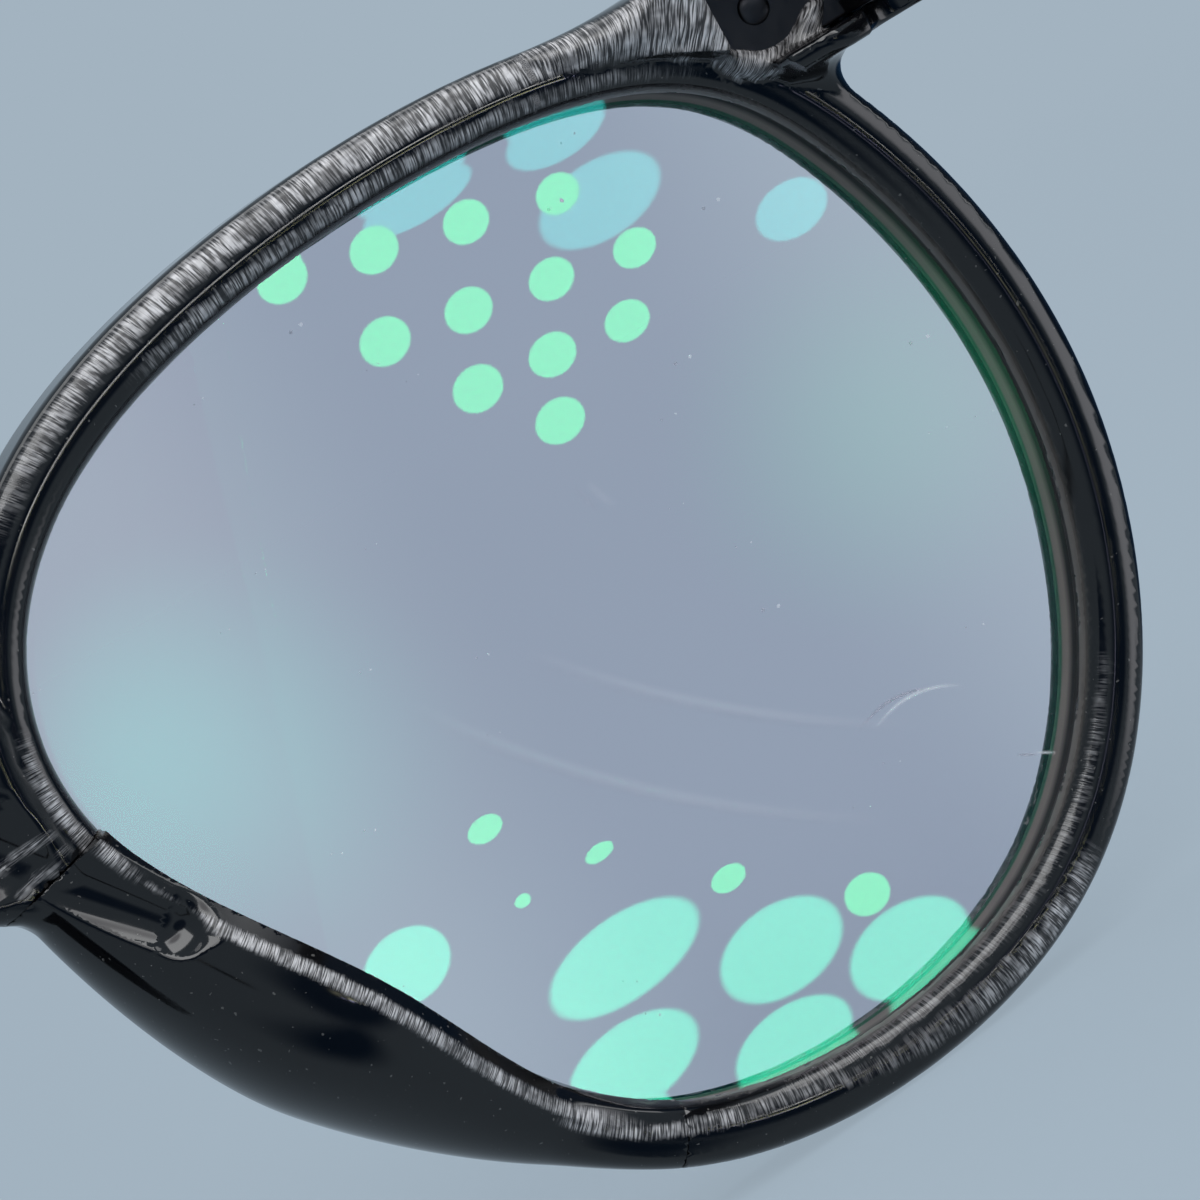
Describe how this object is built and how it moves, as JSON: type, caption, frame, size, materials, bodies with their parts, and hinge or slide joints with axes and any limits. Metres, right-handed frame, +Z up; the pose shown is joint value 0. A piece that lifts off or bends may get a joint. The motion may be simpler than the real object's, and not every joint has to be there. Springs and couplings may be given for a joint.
{
  "type": "eyeglasses",
  "caption": "Rounded full-rim plastic eyeglasses with bevelled clear lenses, glued nose pads and hooked temples that fold on screw hinges.",
  "frame": {"origin": "on the table, under the middle of the bounding box", "axes": "+Z up from the table, the front faces -Y and the open temples run towards +Y, +X is the wearer's left"},
  "size_m": [0.1284, 0.1448, 0.0494],
  "materials": {
    "black_plastic": "polished black cellulose plastic with file marks along the rounded edges",
    "clear_lens": "clear plastic lens with a green anti-reflection coat",
    "nickel_silver": "nickel silver hinge leaves under a thin black plating",
    "steel": "bright turned steel"
  },
  "bodies": {
    "front": {"front_frame": "black_plastic", "lens_left": "clear_lens", "lens_right": "clear_lens", "nose_pad_left": "black_plastic", "nose_pad_right": "black_plastic", "front_hinge_leaf_left": "nickel_silver", "front_hinge_leaf_right": "nickel_silver", "hinge_screw_left": "steel", "hinge_screw_right": "steel"},
    "left_temple": {"temple_left": "black_plastic", "temple_hinge_leaf_left": "nickel_silver", "temple_core_left": "steel"},
    "right_temple": {"temple_right": "black_plastic", "temple_hinge_leaf_right": "nickel_silver", "temple_core_right": "steel"}
  },
  "joints": [
    {"name": "left_temple_fold", "type": "hinge", "parent": "front", "child": "left_temple", "pos_m": [0.0592, -0.05887, 0.04525], "axis": [0, -0.0194, 0.9998], "range_deg": [0, 90]},
    {"name": "right_temple_fold", "type": "hinge", "parent": "front", "child": "right_temple", "pos_m": [-0.0592, -0.05887, 0.04525], "axis": [0, 0.0194, -0.9998], "range_deg": [0, 84]}
  ]
}
